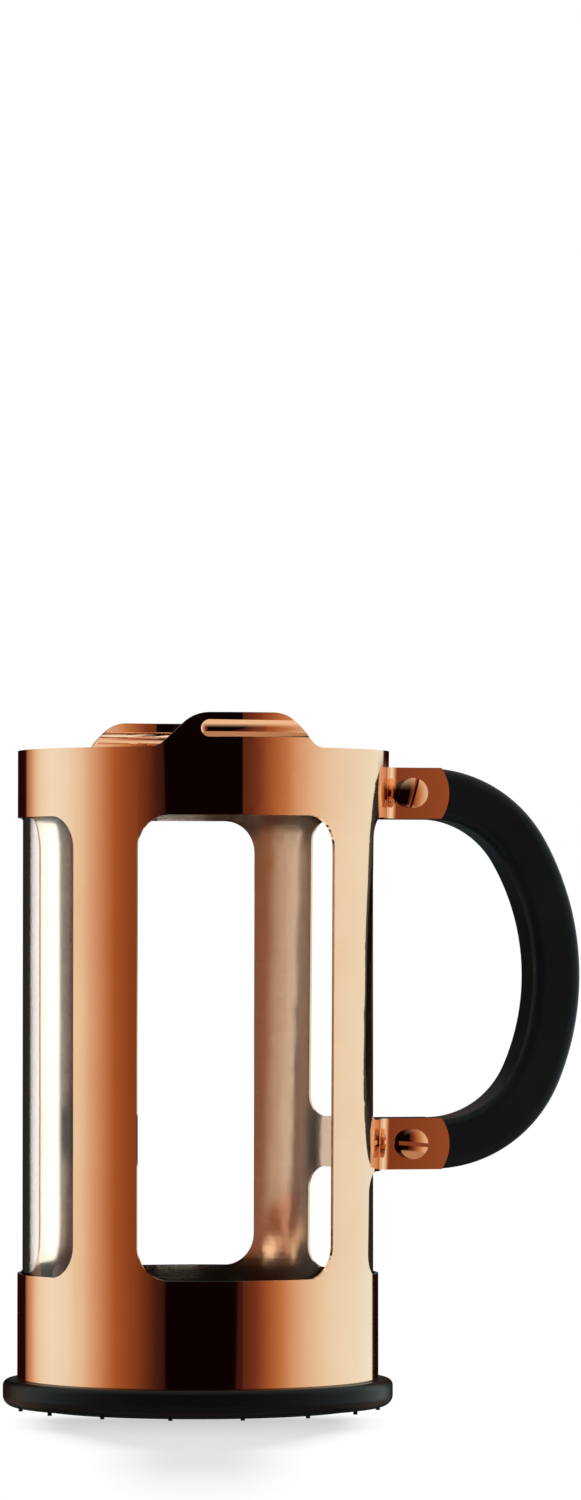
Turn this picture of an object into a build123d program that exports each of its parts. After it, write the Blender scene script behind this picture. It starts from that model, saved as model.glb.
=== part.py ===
from build123d import *

import math
import os

# French press, open for filling: a round sheet-metal frame with a glass beaker in it, a moulded base
# and a clamped handle, and the lid with its plunger taken off and stood beside it on its filter.
# Millimetres. The origin is on the table at the press's axis, +Z up, +X towards the handle.

# ---------------------------------------------------------------- driving dimensions

# Frame shell
FRAME_R = 50.0            # outside radius
SHEET = 0.9               # sheet thickness
RIM_Z = 181.9             # top edge between the two tabs
HANDLE_FLARE = 3.3        # how much further out the rim stands on the handle side
TOP_BAND = 18.5           # from the windows up to the rim
WINDOW_BOTTOM = 37.5
WINDOW_HALF_ANGLE = 33.3  # each window, either side of its middle
HANDLE_WINDOW_HALF_ANGLE = 35.2  # and those above and below the lower ears
WINDOW_CORNER_R = 9.0
HANDLE_WINDOW_CORNER_R = 6.0

# Rim tabs, one on each side, each with a pressed bead that is a bayonet channel inside
TAB_RISE = 9.3
TAB_FLAT_HALF = 9.0
TAB_SHOULDER_R = 9.5
TAB_FOOT_R = 5.0
TAB_FLANK_ANGLE = 45.0
BEAD_ABOVE_RIM = 4.95     # height of the bead's middle line above the rim
BEAD_R = 3.0              # outside radius of the bead's section
BEAD_PROUD = 1.05         # how far its crest stands out of the shell
BEAD_CLOSED_ANGLE = 9.0   # from the tab's middle to the closed end's centre
BEAD_OPEN_ANGLE = 34.0    # past the tab's other flank

# Ears that clamp the handle
EAR_HEIGHT = 14.2
EAR_SPACING = 97.6        # from the upper pair to the lower pair
EAR_REACH = 20.0          # from the shell's round outside to the ears' ends
EAR_END_R = 12.4
EAR_BEND_R = 3.0
SCREW_REACH = 8.9         # from the shell's round outside to the screws

# Base
BASE_WALL = 4.0           # from the shell's outside to the base's
BASE_LIP_TOP = 8.3
BASE_EDGE_R = 3.0
BASE_LIP_R = 1.8
FOOT_INSET = 10.0         # from the base's outside to its flat rest face
NUB_INSET = 3.8           # from the base's outside to the ring of nubs
NUB_R = 0.6
NUB_HEIGHT = 0.9
NUB_COUNT = 16
GROOVE_Z = 2.4            # floor of the groove that the shell stands in
SEAT_Z = 4.4              # floor that the beaker stands on

# Handle
HANDLE_WIDTH = 16.0
HANDLE_REACH = 59.0       # from the shell's round outside to the belly
HANDLE_GRIP = 13.7        # radial thickness at the belly
HANDLE_BELLY_DROP = 50.7  # from the upper ears down to the belly
HANDLE_OUTER_BELLY_R = 76.5
HANDLE_OUTER_CORNER_R = 39.5
HANDLE_INNER_BELLY_R = 61.6
HANDLE_INNER_CORNER_R = 24.7
HANDLE_EDGE_R = 3.0
TONGUE_INSET = 0.6        # gap between the beaker side of the tongue and the shell's ends

# Handle screws and their sleeve nuts
SCREW_HEAD_R = 4.15
SCREW_HEAD_HEIGHT = 3.5
SCREW_RIM = 2.8           # straight side of the head below its dome
SCREW_SLOT_WIDTH = 1.1
SCREW_SLOT_DEPTH = 1.5
UPPER_SLOT_TILT = 16.0    # degrees from upright
LOWER_SLOT_TILT = 95.0
SLEEVE_R = 3.0
SHANK_R = 2.0
SHANK_LENGTH = 11.0

# Beaker
GLASS_WALL = 1.9
GLASS_FLOOR = 2.2
GLASS_HEEL_R = 7.0
GLASS_BELOW_RIM = 3.4

# Lid
LID_SKIRT_DEPTH = 12.0
LID_SKIRT_WALL = 1.8
LID_RING_HEIGHT = 14.0
LID_RING_WALL = 2.2
LID_ROOF = 2.0
LUG_HALF_ANGLE = 8.0
STRAINER_SLOTS = 11
STRAINER_SLOT_WIDTH = 1.6
STRAINER_SLOT_HEIGHT = 7.0
STRAINER_STEP = 4.2       # degrees from slot to slot
DOME_SHEET = 0.6
DOME_OVERLAP = 3.1        # how far the dome's straight edge reaches down over the liner's ring
DOME_CROWN_R = 75.0
DOME_CORNER_R = 8.0
BUSH_R = 5.5
BUSH_FLANGE_R = 7.5
BUSH_FLANGE_HEIGHT = 2.2
CLIP_R = 9.0
CLIP_THICKNESS = 0.8
CLIP_GROOVE = 0.7

# Plunger
ROD_R = 2.4
GROUNDS_ROOM = 21.35      # left under the filter when the knob is right down on the lid
KNOB_R = 15.0
KNOB_FLAT_R = 6.5
INSERT_R = 3.6
INSERT_HEIGHT = 11.0
CROSS_INSET = 5.2         # from the beaker's bore to the cross plate's edge
CROSS_SHEET = 1.0
CROSS_FLANGE = 4.0        # depth of its turned-down edge
CROSS_RIM = 7.0           # width of its ring
CROSS_ARM = 9.0
CROSS_EYE_R = 11.0
CROSS_OPENING_R = 3.0
MESH_SHEET = 0.4
SPIRAL_SHEET = 0.8
SPIRAL_LIP = 1.4
SPIRAL_HOLE_R = 1.7
SPIRAL_HOLE_PITCH = 8.0   # from hole to hole along a ring
SPIRAL_RING_STEP = 7.0
SPIRAL_RINGS = 4
SPRING_R = 1.8            # outside radius of the edge spring's coil
HUB_R = 5.0
HUB_FLANGE_R = 8.5
HUB_FLANGE = 1.2
HUB_FOOT_GAP = 0.6        # the hub ends this far above what the filter stands on
COLLAR_R = 6.0
COLLAR_HEIGHT = 3.0

# Clearances
GROOVE_CLEARANCE = 0.05
BEAKER_CLEARANCE = 0.5
LID_CLEARANCE = 0.3       # liner's ring inside the shell
SKIRT_CLEARANCE = 0.4     # liner's skirt inside the beaker
LUG_CLEARANCE = 0.3
SCREW_CLEARANCE = 0.1
THREAD_CLEARANCE = 0.05
RUNNING_CLEARANCE = 0.06
MESH_CLEARANCE = 0.3
SPRING_GAP = 0.3
LID_REST_GAP = 0.3
STAND_GAP = 12.0          # between the base and the lid that stands beside it

# ---------------------------------------------------------------- sizes that follow

WINDOW_TOP = RIM_Z - TOP_BAND
UPPER_EAR_Z = WINDOW_TOP + EAR_HEIGHT / 2
LOWER_EAR_Z = UPPER_EAR_Z - EAR_SPACING
HANDLE_BELLY_Z = UPPER_EAR_Z - HANDLE_BELLY_DROP
EAR_END_X = FRAME_R + EAR_REACH
SCREW_X = FRAME_R + SCREW_REACH
HANDLE_TIP_X = FRAME_R + HANDLE_REACH
BASE_R = FRAME_R + BASE_WALL
GLASS_TOP = RIM_Z - GLASS_BELOW_RIM
TAB_TOP = RIM_Z + TAB_RISE
BEAD_Z = RIM_Z + BEAD_ABOVE_RIM
BEAD_INSET = BEAD_R - BEAD_PROUD
BEAKER_R = FRAME_R - SHEET - BEAKER_CLEARANCE
BORE_R = BEAKER_R - GLASS_WALL
HANDLE_HALF = HANDLE_WIDTH / 2
EAR_FACE = HANDLE_HALF + SHEET
LID_R = FRAME_R - SHEET - LID_CLEARANCE
DOME_EDGE_Z = LID_RING_HEIGHT - DOME_OVERLAP
STAND_X = -(BASE_R + LID_R + STAND_GAP)
BIG = 300.0


# ---------------------------------------------------------------- helpers

def disc(radius, low, high):
    return Pos(0, 0, low) * Cylinder(radius, high - low, align=(Align.CENTER, Align.CENTER, Align.MIN))


def block(low, high):
    """A box from its lowest to its highest corner."""
    size = [b - a for a, b in zip(low, high)]
    return Pos(*low) * Box(*size, align=(Align.MIN, Align.MIN, Align.MIN))


def turned(profile):
    """Turn a profile of radius and height about the Z axis."""
    return revolve(Plane.XZ * profile, Axis.Z)


def outline(*points):
    return make_face(Polyline(*points, close=True))


def rounded(face, rounds):
    """Round a flat outline's corners; rounds holds (corner, radius) pairs."""
    for corner, radius in rounds:
        nearest = face.vertices().sort_by_distance(Vector(*corner))[0]
        face = fillet(nearest, radius)
    return face


def sector(direction, half_angle, inner_r, outer_r, low, high, corner_r=0.0):
    """A wedge of a ring about the Z axis, with its four radial edges rounded."""
    middle = Pos((inner_r + outer_r) / 2, (low + high) / 2)
    wedge = revolve(Plane.XZ * middle * Rectangle(outer_r - inner_r, high - low), Axis.Z, 2 * half_angle)
    if corner_r:
        upright = wedge.edges().filter_by(Axis.Z)
        radial = [e for e in wedge.edges().filter_by(GeomType.LINE) if e not in upright]
        wedge = fillet(radial, corner_r)
    return Rot(0, 0, direction - half_angle) * wedge


def tangent_arcs(belly_r, corner_r, half_height):
    """A belly arc that runs into a tighter corner arc: how far apart their centres lie along the
    belly's axis, and the angle at which one becomes the other."""
    rise = half_height - corner_r
    reach = math.sqrt((belly_r - corner_r) ** 2 - rise ** 2)
    return reach, math.degrees(math.atan2(rise, reach))


# ---------------------------------------------------------------- frame

def flare(z):
    """How far the shell leans out on the handle side at height z; it is upright below the windows."""
    return HANDLE_FLARE * max(0.0, z - WINDOW_BOTTOM) / (RIM_Z - WINDOW_BOTTOM)


def shell_x(z, y):
    """Outside of the shell on the handle side, at height z and y off the middle."""
    return (FRAME_R + flare(z)) * math.sqrt(1 - (y / FRAME_R) ** 2)


def shell_section(radius, z):
    """Half a circle, and half an ellipse that grows towards the handle with height."""
    round_half = CenterArc((0, 0), radius, 90, 180)
    flared_half = EllipticalCenterArc((0, 0), radius + flare(z), radius, -90, arc_size=180)
    return Pos(0, 0, z) * make_face([round_half, flared_half])


def shell_core(radius, low, high):
    return loft([shell_section(radius, z) for z in (low, WINDOW_BOTTOM, high)], ruled=True)


def rim_cutter():
    """Everything above the rim's outline: level, with a tab that rises in the middle."""
    turn = math.radians(TAB_FLANK_ANGLE)
    shoulder_x = TAB_FLAT_HALF + TAB_SHOULDER_R * math.sin(turn)
    shoulder_z = TAB_TOP - TAB_SHOULDER_R * (1 - math.cos(turn))
    foot_z = RIM_Z + TAB_FOOT_R * (1 - math.cos(turn))
    foot_x = shoulder_x + (shoulder_z - foot_z) / math.tan(turn)
    rim_x = foot_x + TAB_FOOT_R * math.sin(turn)
    flank = [
        JernArc((TAB_FLAT_HALF, TAB_TOP), (1, 0), TAB_SHOULDER_R, -TAB_FLANK_ANGLE),
        Line((shoulder_x, shoulder_z), (foot_x, foot_z)),
        JernArc((rim_x, RIM_Z), (-1, 0), TAB_FOOT_R, -TAB_FLANK_ANGLE),
        Polyline((rim_x, RIM_Z), (BIG, RIM_Z), (BIG, BIG), (0, BIG)),
        Line((0, TAB_TOP), (TAB_FLAT_HALF, TAB_TOP)),
    ]
    face = make_face([*flank, *[mirror(line, Plane.YZ) for line in flank]])
    return extrude(Plane.XZ * face, BIG, both=True)


def bead(section_r, crown_r):
    """A round bar that follows the tab on the -Y side, with one rounded end. crown_r is the shell's
    own radius of curvature there."""
    path_r = crown_r - BEAD_INSET
    sweep_angle = BEAD_CLOSED_ANGLE + BEAD_OPEN_ANGLE
    bar = revolve(Plane.XZ * Pos(path_r, BEAD_Z) * Circle(section_r), Axis.Z, sweep_angle)
    half_disc = make_face([CenterArc((0, 0), section_r, -90, 180), Line((0, -section_r), (0, section_r))])
    bar += Pos(path_r, 0, BEAD_Z) * Rot(0, 0, 180) * revolve(Plane.XZ * half_disc, Axis.Z, 180)
    return Pos(0, crown_r - FRAME_R, 0) * Rot(0, 0, -90 - BEAD_CLOSED_ANGLE) * bar


def ear(z, side):
    """One ear with its rounded end and screw hole; side is -1 or +1 along Y."""
    middle_y = side * (HANDLE_HALF + SHEET / 2)
    start_x = shell_x(z, middle_y) - SHEET / 2
    plate = block((start_x, -SHEET / 2, -EAR_HEIGHT / 2), (EAR_END_X, SHEET / 2, EAR_HEIGHT / 2))
    round_end = Pos(EAR_END_X - EAR_END_R, 0, 0) * Rot(90, 0, 0) * Cylinder(EAR_END_R, 2 * SHEET)
    root = block((0, -SHEET, -EAR_HEIGHT), (EAR_END_X - EAR_END_R, SHEET, EAR_HEIGHT))
    hole_r = (SHANK_R if side < 0 else SLEEVE_R) + SCREW_CLEARANCE
    hole = Pos(SCREW_X, 0, 0) * Rot(90, 0, 0) * Cylinder(hole_r, 4 * SHEET)
    return Pos(0, middle_y, z) * (plate & (round_end + root)) - Pos(0, middle_y, z) * hole


def bend_edge(shell, z, side):
    """Where an ear's outer face meets the shell's outside."""
    return [
        e for e in shell.edges()
        if abs(e.center().Y - side * EAR_FACE) < SHEET / 4
        and abs(e.center().Z - z) < SHEET
        and abs(e.center().X - shell_x(z, EAR_FACE)) < SHEET
        and e.length > EAR_HEIGHT / 2
    ]


def frame_shell():
    high = TAB_TOP + BEAD_R
    bars = [((FRAME_R + flare(BEAD_Z)) ** 2 / FRAME_R, 0), (FRAME_R, 180)]
    shell = shell_core(FRAME_R, GROOVE_Z, high)
    for crown_r, turn in bars:
        shell += Rot(0, 0, turn) * bead(BEAD_R, crown_r)
    shell -= rim_cutter()
    shell -= shell_core(FRAME_R - SHEET, GROOVE_Z - 1, high + 1)
    for crown_r, turn in bars:
        shell -= Rot(0, 0, turn) * bead(BEAD_R - SHEET, crown_r)
    inner, outer = FRAME_R / 2, FRAME_R * 1.5
    for direction in (90, 180, 270):
        shell -= sector(direction, WINDOW_HALF_ANGLE, inner, outer, WINDOW_BOTTOM, WINDOW_TOP, WINDOW_CORNER_R)
    arm_low, arm_high = LOWER_EAR_Z - EAR_HEIGHT / 2, LOWER_EAR_Z + EAR_HEIGHT / 2
    for low, high in ((WINDOW_BOTTOM, arm_low), (arm_high, WINDOW_TOP)):
        opening = sector(0, HANDLE_WINDOW_HALF_ANGLE, inner, outer, low, high, HANDLE_WINDOW_CORNER_R)
        shell -= opening
    shell -= block((0, -HANDLE_HALF, arm_low - 1), (BIG, HANDLE_HALF, BIG))
    ears = [(z, side) for z in (UPPER_EAR_Z, LOWER_EAR_Z) for side in (-1, 1)]
    for z, side in ears:
        shell += ear(z, side)
    for z, side in ears:
        shell = fillet(bend_edge(shell, z, side), EAR_BEND_R)
    return shell


# ---------------------------------------------------------------- base

def base():
    foot_r = BASE_R - FOOT_INSET
    lip_r = FRAME_R + GROOVE_CLEARANCE
    seat_r = FRAME_R - SHEET - GROOVE_CLEARANCE
    profile = outline(
        (0, 0), (foot_r, 0), (foot_r, NUB_HEIGHT), (BASE_R, NUB_HEIGHT), (BASE_R, BASE_LIP_TOP),
        (lip_r, BASE_LIP_TOP), (lip_r, GROOVE_Z), (seat_r, GROOVE_Z), (seat_r, SEAT_Z), (0, SEAT_Z),
    )
    profile = rounded(profile, (
        ((BASE_R, NUB_HEIGHT), BASE_EDGE_R), ((BASE_R, BASE_LIP_TOP), BASE_LIP_R), ((lip_r, BASE_LIP_TOP), 0.6),
    ))
    nub = disc(NUB_R, 0, GROOVE_Z)
    return turned(profile) + [place * nub for place in PolarLocations(BASE_R - NUB_INSET, NUB_COUNT)]


# ---------------------------------------------------------------- handle and its screws

def handle_bow(tip_x, belly_r, corner_r, top, bottom):
    """The curved part of a D outline, from its top end round the belly to its bottom end, as arcs in
    order, with the x of each end."""
    centre_x = tip_x - belly_r
    arcs, ends = [], []
    for side, level in ((1, top), (-1, bottom)):
        reach, angle = tangent_arcs(belly_r, corner_r, abs(level - HANDLE_BELLY_Z))
        corner_z = level - side * corner_r
        arcs.append(CenterArc((centre_x, HANDLE_BELLY_Z), belly_r, 0, side * angle))
        arcs.append(CenterArc((centre_x + reach, corner_z), corner_r, side * angle, side * (90 - angle)))
        ends.append(centre_x + reach)
    return arcs, ends


def handle_grip():
    half = EAR_HEIGHT / 2
    start_x = shell_x(LOWER_EAR_Z, 0) + TONGUE_INSET
    upper_start_x = shell_x(UPPER_EAR_Z, 0) + TONGUE_INSET
    top, bottom = UPPER_EAR_Z + half, LOWER_EAR_Z - half
    inner_top, inner_bottom = UPPER_EAR_Z - half, LOWER_EAR_Z + half
    outer, outer_ends = handle_bow(HANDLE_TIP_X, HANDLE_OUTER_BELLY_R, HANDLE_OUTER_CORNER_R, top, bottom)
    inner, inner_ends = handle_bow(
        HANDLE_TIP_X - HANDLE_GRIP, HANDLE_INNER_BELLY_R, HANDLE_INNER_CORNER_R, inner_top, inner_bottom
    )
    upper_end = Polyline(
        (outer_ends[0], top), (upper_start_x, top), (upper_start_x, inner_top), (inner_ends[0], inner_top)
    )
    lower_end = Polyline(
        (outer_ends[1], bottom), (start_x, bottom), (start_x, inner_bottom), (inner_ends[1], inner_bottom)
    )
    grip = extrude(Plane.XZ * make_face([*outer, *inner, upper_end, lower_end]), HANDLE_HALF, both=True)
    rim = [e for e in grip.edges() if abs(abs(e.center().Y) - HANDLE_HALF) < 0.01]
    grip = fillet([e for e in rim if e.bounding_box().max.X > upper_start_x + 1], HANDLE_EDGE_R)
    tongue_end = EAR_END_X - EAR_END_R + math.sqrt(EAR_END_R ** 2 - half ** 2) - SHEET
    for z, x in ((UPPER_EAR_Z, upper_start_x), (LOWER_EAR_Z, start_x)):
        grip += block((x, -HANDLE_HALF, z - half), (tongue_end, HANDLE_HALF, z + half))
        grip -= Pos(SCREW_X, 0, z) * Rot(90, 0, 0) * Cylinder(SLEEVE_R + SCREW_CLEARANCE, 2 * HANDLE_WIDTH)
    return grip


def screw_head(slot_tilt):
    """A slotted domed head that rises along +Z from its seat."""
    dome_rise = SCREW_HEAD_HEIGHT - SCREW_RIM
    dome_r = (SCREW_HEAD_R ** 2 + dome_rise ** 2) / (2 * dome_rise)
    ball = Pos(0, 0, SCREW_HEAD_HEIGHT - dome_r) * Sphere(dome_r)
    slot = block(
        (-BIG, -SCREW_SLOT_WIDTH / 2, SCREW_HEAD_HEIGHT - SCREW_SLOT_DEPTH), (BIG, SCREW_SLOT_WIDTH / 2, BIG)
    )
    return disc(SCREW_HEAD_R, 0, SCREW_HEAD_HEIGHT) & ball - Rot(0, 0, slot_tilt) * slot


def handle_screw(z, slot_tilt):
    screw = screw_head(90 - slot_tilt) + disc(SHANK_R, -SHANK_LENGTH, 0)
    return Pos(SCREW_X, -EAR_FACE, z) * Rot(90, 0, 0) * screw


def handle_sleeve(z, slot_tilt):
    """A slotted head on the far ear, with the sleeve that the screw threads into."""
    sleeve_length = HANDLE_WIDTH + SHEET - SCREW_CLEARANCE
    sleeve = screw_head(slot_tilt) + disc(SLEEVE_R, -sleeve_length, 0)
    sleeve -= disc(SHANK_R + THREAD_CLEARANCE, -sleeve_length - 1, SHANK_LENGTH - 2 * EAR_FACE + SHANK_R)
    return Pos(SCREW_X, EAR_FACE, z) * Rot(-90, 0, 0) * sleeve


# ---------------------------------------------------------------- beaker

def glass_beaker():
    inner_floor = SEAT_Z + GLASS_FLOOR
    profile = outline(
        (0, SEAT_Z), (BEAKER_R, SEAT_Z), (BEAKER_R, GLASS_TOP), (BORE_R, GLASS_TOP), (BORE_R, inner_floor),
        (0, inner_floor),
    )
    rim_r = GLASS_WALL * 0.45
    return turned(rounded(profile, (
        ((BEAKER_R, SEAT_Z), GLASS_HEEL_R), ((BORE_R, inner_floor), GLASS_HEEL_R - GLASS_WALL),
        ((BEAKER_R, GLASS_TOP), rim_r), ((BORE_R, GLASS_TOP), rim_r),
    )))


# ---------------------------------------------------------------- lid, about its own axis
# Z is 0 where the liner's ring would sit on the beaker's rim.

def dome_body(offset):
    """The whole body under the dome's skin, offset inwards from its outside."""
    radius = LID_R - offset
    crown_r, corner_r = DOME_CROWN_R - offset, DOME_CORNER_R - offset
    reach, angle = tangent_arcs(crown_r, corner_r, radius)
    crown_z = LID_RING_HEIGHT - reach
    top = crown_z + crown_r
    face = make_face([
        CenterArc((0, crown_z), crown_r, 90 - angle, angle),
        CenterArc((radius - corner_r, LID_RING_HEIGHT), corner_r, 0, 90 - angle),
        Polyline((radius, LID_RING_HEIGHT), (radius, DOME_EDGE_Z), (0, DOME_EDGE_Z), (0, top)),
    ])
    return turned(face)


def dome_height_at(radius):
    reach, _ = tangent_arcs(DOME_CROWN_R, DOME_CORNER_R, LID_R)
    return LID_RING_HEIGHT - reach + math.sqrt(DOME_CROWN_R ** 2 - radius ** 2)


BUSH_SEAT_Z = dome_height_at(BUSH_R + RUNNING_CLEARANCE)
ROOF_UNDERSIDE = LID_RING_HEIGHT - LID_ROOF
BUSH_TOP = BUSH_SEAT_Z + BUSH_FLANGE_HEIGHT


def lid_dome():
    return dome_body(0) - dome_body(DOME_SHEET) - disc(BUSH_R + RUNNING_CLEARANCE, 0, BIG)


def lid_liner():
    skirt_r = BORE_R - SKIRT_CLEARANCE
    rebate_r = LID_R - DOME_SHEET - GROOVE_CLEARANCE
    ring_inner_r = LID_R - LID_RING_WALL
    skirt_inner_r = skirt_r - LID_SKIRT_WALL
    body = turned(outline(
        (skirt_inner_r, -LID_SKIRT_DEPTH), (skirt_r, -LID_SKIRT_DEPTH), (skirt_r, 0), (LID_R, 0),
        (LID_R, DOME_EDGE_Z - GROOVE_CLEARANCE), (rebate_r, DOME_EDGE_Z - GROOVE_CLEARANCE),
        (rebate_r, LID_RING_HEIGHT), (0, LID_RING_HEIGHT), (0, ROOF_UNDERSIDE), (ring_inner_r, ROOF_UNDERSIDE),
        (ring_inner_r, LID_RING_WALL), (skirt_inner_r, LID_RING_WALL),
    ))
    lug_r = BEAD_R - SHEET - LUG_CLEARANCE
    lug_z = BEAD_Z - GLASS_TOP
    lug = revolve(Plane.XZ * Pos(FRAME_R - BEAD_INSET, lug_z) * Circle(lug_r), Axis.Z, 2 * LUG_HALF_ANGLE)
    lug -= disc(LID_R - LID_RING_WALL / 2, -BIG, BIG)
    for direction in (-90, 90):
        body += Rot(0, 0, direction - LUG_HALF_ANGLE) * lug
    slot_middle = -LID_SKIRT_DEPTH / 2 - LID_RING_WALL / 2
    slot = Pos(-skirt_r, 0, slot_middle) * Box(4 * LID_SKIRT_WALL, STRAINER_SLOT_WIDTH, STRAINER_SLOT_HEIGHT)
    for i in range(STRAINER_SLOTS):
        body -= Rot(0, 0, (i - (STRAINER_SLOTS - 1) / 2) * STRAINER_STEP) * slot
    return body - disc(BUSH_R + RUNNING_CLEARANCE, ROOF_UNDERSIDE - 1, BIG)


def lid_bush():
    end = ROOF_UNDERSIDE - 2 * CLIP_THICKNESS - CLIP_GROOVE
    groove_top = ROOF_UNDERSIDE - RUNNING_CLEARANCE
    groove_bottom = groove_top - CLIP_THICKNESS - 2 * THREAD_CLEARANCE
    groove_r = BUSH_R - CLIP_GROOVE
    profile = outline(
        (0, end), (BUSH_R, end), (BUSH_R, groove_bottom), (groove_r, groove_bottom), (groove_r, groove_top),
        (BUSH_R, groove_top), (BUSH_R, BUSH_SEAT_Z), (BUSH_FLANGE_R, BUSH_SEAT_Z), (BUSH_FLANGE_R, BUSH_TOP),
        (0, BUSH_TOP),
    )
    profile = rounded(profile, (((BUSH_FLANGE_R, BUSH_TOP), BUSH_FLANGE_HEIGHT * 0.6),))
    return turned(profile) - disc(ROD_R + RUNNING_CLEARANCE, 0, BIG)


def bush_clip():
    """A round spring clip in the bush's groove, open on one side."""
    top = ROOF_UNDERSIDE - RUNNING_CLEARANCE - THREAD_CLEARANCE
    bottom = top - CLIP_THICKNESS
    ring = disc(CLIP_R, bottom, top) - disc(BUSH_R - CLIP_GROOVE + THREAD_CLEARANCE, bottom - 1, top + 1)
    return ring - sector(0, 20, 1, CLIP_R + 1, bottom - 1, top + 1)


# ---------------------------------------------------------------- plunger, about its own axis
# Z is 0 where its filter stands.

KNOB_UNDERSIDE = GLASS_TOP + BUSH_TOP - SEAT_Z - GLASS_FLOOR - GROUNDS_ROOM
CROSS_R = BORE_R - CROSS_INSET
CROSS_TOP = CROSS_FLANGE + CROSS_SHEET
MESH_TOP = CROSS_TOP + MESH_SHEET
PLATE_TOP = MESH_TOP + SPIRAL_SHEET
MESH_R = BORE_R - MESH_CLEARANCE
SPRING_RING_R = MESH_R - MESH_SHEET - SPRING_GAP - SPRING_R
SPRING_Z = MESH_TOP + SPRING_GAP + SPRING_R
LID_REST_Z = SPRING_Z + SPRING_R + LID_REST_GAP + LID_SKIRT_DEPTH


def cross_plate():
    plate = disc(CROSS_R, 0, CROSS_TOP) - disc(CROSS_R - CROSS_SHEET, -1, CROSS_FLANGE)
    ring_inner_r = CROSS_R - CROSS_RIM
    opening = sector(45, 45, CROSS_EYE_R, ring_inner_r, CROSS_FLANGE - 1, CROSS_TOP + 1)
    opening -= block((-BIG, -CROSS_ARM / 2, 0), (BIG, CROSS_ARM / 2, BIG))
    opening -= block((-CROSS_ARM / 2, -BIG, 0), (CROSS_ARM / 2, BIG, BIG))
    opening = fillet(opening.edges().filter_by(Axis.Z), CROSS_OPENING_R)
    for turn in range(0, 360, 90):
        plate -= Rot(0, 0, turn) * opening
    return plate - disc(HUB_R + THREAD_CLEARANCE, -1, CROSS_TOP + 1)


def cross_hub():
    """The threaded boss that the rod screws into, with a flange under the cross."""
    hub = disc(HUB_R, HUB_FOOT_GAP, CROSS_TOP) + disc(HUB_FLANGE_R, CROSS_FLANGE - HUB_FLANGE, CROSS_FLANGE)
    return hub - disc(ROD_R + THREAD_CLEARANCE, 0, BIG)


def filter_mesh():
    """A flat disc whose edge is turned up round the spring."""
    wrap_r = SPRING_R + SPRING_GAP
    centre = (SPRING_RING_R, SPRING_Z)
    inner_arc = CenterArc(centre, wrap_r, 270, 90)
    outer_arc = CenterArc(centre, wrap_r + MESH_SHEET, 270, 90)
    face = make_face([
        inner_arc,
        outer_arc,
        Line(inner_arc @ 1, outer_arc @ 1),
        Polyline(inner_arc @ 0, (0, MESH_TOP), (0, CROSS_TOP), outer_arc @ 0),
    ])
    return turned(face) - disc(ROD_R + SCREW_CLEARANCE, 0, BIG)


def spiral_plate():
    """A perforated disc with an upturned lip that holds the edge spring."""
    lip_r = SPRING_RING_R - SPRING_R - SPRING_GAP
    plate = disc(lip_r, MESH_TOP, PLATE_TOP + SPIRAL_LIP) - disc(lip_r - SPIRAL_SHEET, PLATE_TOP, BIG)
    hole = disc(SPIRAL_HOLE_R, MESH_TOP - 1, PLATE_TOP + 1)
    for i in range(SPIRAL_RINGS):
        radius = lip_r - (i + 0.8) * SPIRAL_RING_STEP
        count = round(2 * math.pi * radius / SPIRAL_HOLE_PITCH)
        plate -= [place * hole for place in PolarLocations(radius, count)]
    return plate - disc(ROD_R + SCREW_CLEARANCE, 0, BIG)


def edge_spring():
    """The coil that runs round the plate, as the solid ring that it fills."""
    return Pos(0, 0, SPRING_Z) * Torus(SPRING_RING_R, SPRING_R)


def rod_collar():
    collar = chamfer(disc(COLLAR_R, PLATE_TOP, PLATE_TOP + COLLAR_HEIGHT).edges().group_by(Axis.Z)[-1], 0.5)
    return collar - disc(ROD_R + THREAD_CLEARANCE, 0, BIG)


def plunger_rod():
    top = KNOB_UNDERSIDE + INSERT_HEIGHT - 1
    rod = disc(ROD_R, HUB_FOOT_GAP, top)
    return chamfer(rod.edges().filter_by(GeomType.CIRCLE), ROD_R / 4)


def knob():
    centre_z = KNOB_UNDERSIDE + math.sqrt(KNOB_R ** 2 - KNOB_FLAT_R ** 2)
    ball = Pos(0, 0, centre_z) * Sphere(KNOB_R) - disc(BIG, 0, KNOB_UNDERSIDE)
    return ball - disc(INSERT_R + THREAD_CLEARANCE, 0, KNOB_UNDERSIDE + INSERT_HEIGHT)


def knob_insert():
    insert = disc(INSERT_R, KNOB_UNDERSIDE, KNOB_UNDERSIDE + INSERT_HEIGHT - THREAD_CLEARANCE)
    return insert - disc(ROD_R + THREAD_CLEARANCE, 0, KNOB_UNDERSIDE + INSERT_HEIGHT - 0.9)


# ---------------------------------------------------------------- assembly

def build():
    stand = Pos(STAND_X, 0, 0)
    lid_place = stand * Pos(0, 0, LID_REST_Z)
    nodes = {
        "frame_shell": frame_shell(),
        "base": base(),
        "handle_grip": handle_grip(),
        "handle_screw_upper": handle_screw(UPPER_EAR_Z, UPPER_SLOT_TILT),
        "handle_screw_lower": handle_screw(LOWER_EAR_Z, LOWER_SLOT_TILT),
        "handle_sleeve_upper": handle_sleeve(UPPER_EAR_Z, UPPER_SLOT_TILT),
        "handle_sleeve_lower": handle_sleeve(LOWER_EAR_Z, LOWER_SLOT_TILT),
        "glass_beaker": glass_beaker(),
    }
    for make in (lid_dome, lid_liner, lid_bush, bush_clip):
        nodes[make.__name__] = lid_place * make()
    for make in (
        plunger_rod, knob, knob_insert, rod_collar, spiral_plate, edge_spring, filter_mesh, cross_plate, cross_hub
    ):
        nodes[make.__name__] = stand * make()
    return nodes


os.makedirs("parts", exist_ok=True)
for name, shape in build().items():
    export_step(shape, f"parts/{name}.step")
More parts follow.
